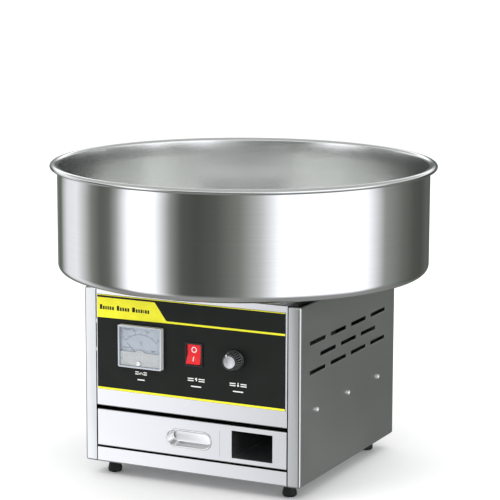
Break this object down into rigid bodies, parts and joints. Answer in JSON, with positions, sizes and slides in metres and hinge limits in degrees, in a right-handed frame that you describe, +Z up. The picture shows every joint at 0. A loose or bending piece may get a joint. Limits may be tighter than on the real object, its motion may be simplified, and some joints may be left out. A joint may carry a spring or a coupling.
{
  "type": "cotton candy machine",
  "caption": "Table-top cotton candy machine: a round steel bowl over a spinning heated head, on a square cabinet with a voltmeter, rocker switch, heat knob and a stick drawer.",
  "frame": {"origin": "on the floor under the bowl's axis, at the centre of the bounding box's base", "axes": "+Z up, -Y towards the operator, +X to the operator's right"},
  "size_m": [0.5202, 0.5202, 0.4147],
  "materials": {
    "brushed_steel": "brushed",
    "polished_steel": "polished",
    "zinc_steel": "zinc plated",
    "aluminium": "satin",
    "black_rubber": "matt",
    "overlay_black": "satin print",
    "black_plastic": "moulded",
    "white_plastic": "moulded",
    "dial_card": "printed card",
    "red_plastic": "moulded",
    "brass": "turned",
    "carbon": "pressed carbon",
    "heater_alloy": "sheathed element",
    "enamel_grey": "enamel",
    "board_green": "solder mask",
    "clear_plastic": "clear acrylic"
  },
  "bodies": {
    "cabinet": {"base_tray": "brushed_steel", "front_panel": "brushed_steel", "back_panel": "brushed_steel", "top_deck": "brushed_steel", "left_side_panel": "brushed_steel", "right_side_panel": "brushed_steel", "bay_divider": "zinc_steel", "left_runner": "zinc_steel", "right_runner": "zinc_steel", "motor_bracket": "zinc_steel", "regulator_pot": "zinc_steel", "left_rivet_1": "polished_steel", "left_rivet_2": "polished_steel", "left_rivet_3": "polished_steel", "right_rivet_1": "polished_steel", "right_rivet_2": "polished_steel", "right_rivet_3": "polished_steel", "bearing_lower": "polished_steel", "bearing_upper": "polished_steel", "fascia_overlay": "overlay_black", "front_left_foot": "black_rubber", "front_right_foot": "black_rubber", "rear_left_foot": "black_rubber", "rear_right_foot": "black_rubber", "bowl_gasket": "black_rubber", "motor_isolator_1": "black_rubber", "motor_isolator_2": "black_rubber", "motor_isolator_3": "black_rubber", "bowl_seat_ring": "aluminium", "motor_end_cap": "aluminium", "motor_housing": "enamel_grey", "brush_holder": "black_plastic", "rocker_housing": "black_plastic", "power_inlet": "black_plastic", "meter_case": "white_plastic", "meter_dial": "dial_card", "meter_window": "clear_plastic", "control_board": "board_green"},
    "drawer": {"drawer_front": "brushed_steel", "drawer_tray": "zinc_steel", "stick_sleeve": "zinc_steel", "finger_pull": "polished_steel"},
    "bowl": {"floss_bowl": "polished_steel"},
    "spinner": {"spinner_base": "aluminium", "spinner_cap": "aluminium", "motor_shaft": "polished_steel", "floss_screen": "polished_steel", "cap_screw_1": "polished_steel", "cap_screw_2": "polished_steel", "cap_screw_3": "polished_steel", "motor_armature": "zinc_steel", "heater_ring": "heater_alloy", "slip_ring_lower": "brass", "slip_ring_upper": "brass"},
    "power_rocker": {"rocker_button": "red_plastic"},
    "heat_knob": {"knob": "black_plastic"},
    "meter_pointer": {"meter_needle": "black_plastic"},
    "zero_adjuster": {"meter_zero_screw": "white_plastic"},
    "lower_brush": {"carbon_brush_lower": "carbon"},
    "upper_brush": {"carbon_brush_upper": "carbon"}
  },
  "joints": [
    {"name": "drawer_slide", "type": "slide", "parent": "cabinet", "child": "drawer", "axis": [0, -1, 0], "range_m": [0, 0.22]},
    {"name": "bowl_lift", "type": "slide", "parent": "cabinet", "child": "bowl", "axis": [0, 0, 1], "range_m": [0, 0.1]},
    {"name": "head_spin", "type": "hinge", "parent": "cabinet", "child": "spinner", "pos_m": [0, 0, 0.289], "axis": [0, 0, 1], "continuous": true},
    {"name": "power_switch", "type": "hinge", "parent": "cabinet", "child": "power_rocker", "pos_m": [0.0067, -0.156, 0.1815], "axis": [1, 0, 0], "range_deg": [0, 20]},
    {"name": "heat_regulator", "type": "hinge", "parent": "cabinet", "child": "heat_knob", "pos_m": [0.0657, -0.1565, 0.1806], "axis": [0, 1, 0], "range_deg": [-105, 195]},
    {"name": "meter_swing", "type": "hinge", "parent": "cabinet", "child": "meter_pointer", "pos_m": [-0.0705, -0.161, 0.1684], "axis": [0, 1, 0], "range_deg": [0, 90]},
    {"name": "zero_adjust", "type": "hinge", "parent": "cabinet", "child": "zero_adjuster", "pos_m": [-0.0722, -0.1645, 0.1627], "axis": [0, 1, 0], "range_deg": [-45, 45]},
    {"name": "lower_brush_feed", "type": "slide", "parent": "cabinet", "child": "lower_brush", "axis": [1, 0, 0], "range_m": [0, 0.004], "stiffness_N_per_m": 200, "springref_m": -0.004},
    {"name": "upper_brush_feed", "type": "slide", "parent": "cabinet", "child": "upper_brush", "axis": [1, 0, 0], "range_m": [0, 0.004], "stiffness_N_per_m": 200, "springref_m": -0.004}
  ]
}
